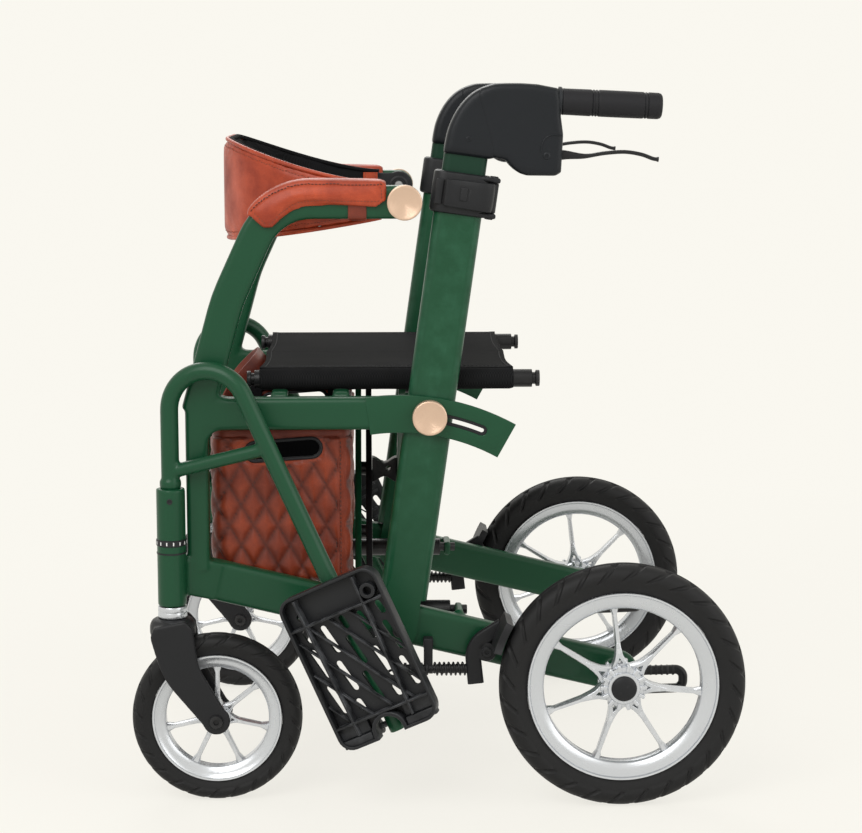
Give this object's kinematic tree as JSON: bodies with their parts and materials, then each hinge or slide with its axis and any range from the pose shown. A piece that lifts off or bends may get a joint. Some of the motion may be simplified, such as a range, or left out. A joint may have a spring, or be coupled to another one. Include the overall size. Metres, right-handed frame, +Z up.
{
  "type": "rollator transport chair",
  "caption": "Folding walking frame on wheels that turns into a transport chair, with reclining handle posts, a flip-over back band and swing-away footrests.",
  "frame": {"origin": "middle of the box round the part, on the floor", "axes": "+Z up, -X towards the casters, the walking direction, +Y to the right side"},
  "size_m": [0.747, 0.742, 0.872],
  "materials": {
    "frame_green": "satin powder coat, dark hunter green",
    "stem_green": "satin, darker green",
    "tan_leather": "glossy cognac leather, stitched and quilted",
    "champagne_cap": "satin champagne gold",
    "black_plastic": "fine moulded grain",
    "black_rubber": "soft matt grip",
    "black_metal": "satin black coat",
    "bright_steel": "zinc plated",
    "silver_rim": "silver paint on a moulded wheel",
    "tyre_rubber": "matt black with a tread",
    "black_fabric": "woven sling with piping"
  },
  "bodies": {
    "left_frame": {"left_lower_frame": "frame_green", "left_upper_frame": "frame_green", "left_armrest_pad": "tan_leather", "left_rear_axle": "black_metal", "left_brake_spring": "black_metal", "left_brake_cable": "black_plastic", "left_kerb_pedal": "black_metal", "bag": "tan_leather"},
    "left_brace": {"left_brace": "black_metal", "right_seat_sling": "black_fabric", "brace_axle": "bright_steel"},
    "left_post": {"left_post": "frame_green", "left_height_clamp": "black_plastic"},
    "left_lock_knob": {"left_lock_knob": "champagne_cap"},
    "left_clamp_lever": {"left_clamp_lever": "black_plastic"},
    "left_handle": {"left_handle_stem": "stem_green", "left_handle_housing": "black_plastic", "left_grip": "black_rubber"},
    "left_brake_lever": {"left_brake_lever": "black_metal"},
    "left_armrest_button": {"left_armrest_button": "champagne_cap"},
    "left_fork": {"left_caster_fork": "black_plastic", "left_caster_axle": "bright_steel"},
    "left_caster": {"left_caster_wheel": "silver_rim", "left_caster_tyre": "tyre_rubber"},
    "left_rear_wheel": {"left_rear_wheel": "silver_rim", "left_rear_tyre": "tyre_rubber"},
    "left_brake_arm": {"left_brake_arm": "black_plastic"},
    "left_footrest": {"left_footrest_tube": "frame_green"},
    "left_footplate": {"left_footplate": "black_plastic"},
    "backrest": {"left_backrest_hinge": "black_plastic", "backrest_band": "tan_leather"},
    "right_frame": {"right_lower_frame": "frame_green", "right_upper_frame": "frame_green", "right_armrest_pad": "tan_leather", "right_rear_axle": "black_metal", "right_brake_spring": "black_metal", "right_brake_cable": "black_plastic", "right_kerb_pedal": "black_metal"},
    "right_brace": {"right_brace": "black_metal", "left_seat_sling": "black_fabric"},
    "right_post": {"right_post": "frame_green", "right_height_clamp": "black_plastic"},
    "right_lock_knob": {"right_lock_knob": "champagne_cap"},
    "right_clamp_lever": {"right_clamp_lever": "black_plastic"},
    "right_handle": {"right_handle_stem": "stem_green", "right_handle_housing": "black_plastic", "right_grip": "black_rubber"},
    "right_brake_lever": {"right_brake_lever": "black_metal"},
    "right_armrest_button": {"right_armrest_button": "champagne_cap"},
    "right_fork": {"right_caster_fork": "black_plastic", "right_caster_axle": "bright_steel"},
    "right_caster": {"right_caster_wheel": "silver_rim", "right_caster_tyre": "tyre_rubber"},
    "right_rear_wheel": {"right_rear_wheel": "silver_rim", "right_rear_tyre": "tyre_rubber"},
    "right_brake_arm": {"right_brake_arm": "black_plastic"},
    "right_footrest": {"right_footrest_tube": "frame_green"},
    "right_footplate": {"right_footplate": "black_plastic"},
    "backrest_right": {"right_backrest_hinge": "black_plastic"}
  },
  "joints": [
    {"name": "left_brace_turn", "type": "hinge", "parent": "left_frame", "child": "left_brace", "pos_m": [-0.0465, -0.19, 0.219], "axis": [1, 0, 0], "range_deg": [0, 40.2]},
    {"name": "backrest_flip", "type": "hinge", "parent": "left_frame", "child": "backrest", "pos_m": [-0.039, -0.226, 0.731], "axis": [0, 1, 0], "range_deg": [0, 180]},
    {"name": "left_recline", "type": "hinge", "parent": "left_frame", "child": "left_post", "pos_m": [-0.0465, -0.231, 0.206], "axis": [0, 1, 0], "range_deg": [0, 14]},
    {"name": "left_handle_height", "type": "slide", "parent": "left_post", "child": "left_handle", "axis": [0.1392, 0, 0.9903], "range_m": [0, 0.11]},
    {"name": "left_brake_squeeze", "type": "hinge", "parent": "left_handle", "child": "left_brake_lever", "pos_m": [0.1305, -0.231, 0.786], "axis": [0, -1, 0], "range_deg": [0, 14], "stiffness_Nm_per_rad": 4, "springref_deg": -5.73},
    {"name": "left_brake_press", "type": "hinge", "parent": "left_frame", "child": "left_brake_arm", "pos_m": [0.0605, -0.256, 0.182], "axis": [0, 1, 0], "range_deg": [0, 2.6], "deforming": ["left_brake_spring"]},
    {"name": "left_clamp_open", "type": "hinge", "parent": "left_post", "child": "left_clamp_lever", "pos_m": [0.06529, -0.24, 0.7356], "axis": [0.1392, 0, 0.9903], "range_deg": [0, 100]},
    {"name": "left_lock_pull", "type": "slide", "parent": "left_post", "child": "left_lock_knob", "axis": [0, -1, 0], "range_m": [0, 0.008], "stiffness_N_per_m": 900, "springref_m": -0.004},
    {"name": "left_armrest_press", "type": "slide", "parent": "left_frame", "child": "left_armrest_button", "axis": [0, 1, 0], "range_m": [0, 0.004], "stiffness_N_per_m": 900, "springref_m": -0.003},
    {"name": "left_swivel", "type": "hinge", "parent": "left_frame", "child": "left_fork", "pos_m": [-0.3225, -0.258, 0.24], "axis": [0, 0, 1], "continuous": true},
    {"name": "left_caster_roll", "type": "hinge", "parent": "left_fork", "child": "left_caster", "pos_m": [-0.2695, -0.258, 0.104], "axis": [0, 1, 0], "continuous": true},
    {"name": "left_rear_roll", "type": "hinge", "parent": "left_frame", "child": "left_rear_wheel", "pos_m": [0.2235, -0.295, 0.15], "axis": [0, 1, 0], "continuous": true},
    {"name": "left_footrest_swing", "type": "hinge", "parent": "left_frame", "child": "left_footrest", "pos_m": [-0.3225, -0.258, 0.36], "axis": [0, 0, -1], "range_deg": [0, 166]},
    {"name": "left_footplate_fold", "type": "hinge", "parent": "left_footrest", "child": "left_footplate", "pos_m": [-0.05291, -0.32522, 0.11584], "axis": [0.8762, -0.2185, 0.4295], "range_deg": [0, 88]},
    {"name": "fold", "type": "slide", "parent": "left_frame", "child": "right_frame", "axis": [0, 1, 0], "range_m": [-0.25, 0], "deforming": ["bag", "backrest_band", "left_seat_sling", "right_seat_sling"]},
    {"name": "right_brace_turn", "type": "hinge", "parent": "right_frame", "child": "right_brace", "pos_m": [-0.0465, 0.19, 0.219], "axis": [-1, 0, 0], "range_deg": [0, 40.2]},
    {"name": "backrest_flip_right", "type": "hinge", "parent": "right_frame", "child": "backrest_right", "pos_m": [-0.039, 0.226, 0.731], "axis": [0, 1, 0], "range_deg": [0, 180]},
    {"name": "right_recline", "type": "hinge", "parent": "right_frame", "child": "right_post", "pos_m": [-0.0465, 0.231, 0.206], "axis": [0, 1, 0], "range_deg": [0, 14]},
    {"name": "right_handle_height", "type": "slide", "parent": "right_post", "child": "right_handle", "axis": [0.1392, 0, 0.9903], "range_m": [0, 0.11]},
    {"name": "right_brake_squeeze", "type": "hinge", "parent": "right_handle", "child": "right_brake_lever", "pos_m": [0.1305, 0.231, 0.786], "axis": [0, -1, 0], "range_deg": [0, 14], "stiffness_Nm_per_rad": 4, "springref_deg": -5.73},
    {"name": "right_brake_press", "type": "hinge", "parent": "right_frame", "child": "right_brake_arm", "pos_m": [0.0605, 0.256, 0.182], "axis": [0, 1, 0], "range_deg": [0, 2.6], "deforming": ["right_brake_spring"]},
    {"name": "right_clamp_open", "type": "hinge", "parent": "right_post", "child": "right_clamp_lever", "pos_m": [0.06529, 0.24, 0.7356], "axis": [-0.1392, 0, -0.9903], "range_deg": [0, 100]},
    {"name": "right_lock_pull", "type": "slide", "parent": "right_post", "child": "right_lock_knob", "axis": [0, 1, 0], "range_m": [0, 0.008], "stiffness_N_per_m": 900, "springref_m": -0.004},
    {"name": "right_armrest_press", "type": "slide", "parent": "right_frame", "child": "right_armrest_button", "axis": [0, -1, 0], "range_m": [0, 0.004], "stiffness_N_per_m": 900, "springref_m": -0.003},
    {"name": "right_swivel", "type": "hinge", "parent": "right_frame", "child": "right_fork", "pos_m": [-0.3225, 0.258, 0.24], "axis": [0, 0, 1], "continuous": true},
    {"name": "right_caster_roll", "type": "hinge", "parent": "right_fork", "child": "right_caster", "pos_m": [-0.2695, 0.258, 0.104], "axis": [0, 1, 0], "continuous": true},
    {"name": "right_rear_roll", "type": "hinge", "parent": "right_frame", "child": "right_rear_wheel", "pos_m": [0.2235, 0.295, 0.15], "axis": [0, 1, 0], "continuous": true},
    {"name": "right_footrest_swing", "type": "hinge", "parent": "right_frame", "child": "right_footrest", "pos_m": [-0.3225, 0.258, 0.36], "axis": [0, 0, 1], "range_deg": [0, 166]},
    {"name": "right_footplate_fold", "type": "hinge", "parent": "right_footrest", "child": "right_footplate", "pos_m": [-0.05291, 0.32522, 0.11584], "axis": [-0.8762, -0.2185, -0.4295], "range_deg": [0, 88]}
  ],
  "couplings": [
    {"joint": "left_brace_turn", "follows": "fold", "rad_per_m": -2.8},
    {"joint": "left_brake_press", "follows": "left_brake_squeeze", "ratio": 0.18},
    {"joint": "right_brace_turn", "follows": "fold", "rad_per_m": -2.8},
    {"joint": "right_brake_press", "follows": "right_brake_squeeze", "ratio": 0.18},
    {"joint": "backrest_flip_right", "follows": "backrest_flip", "ratio": 1}
  ]
}
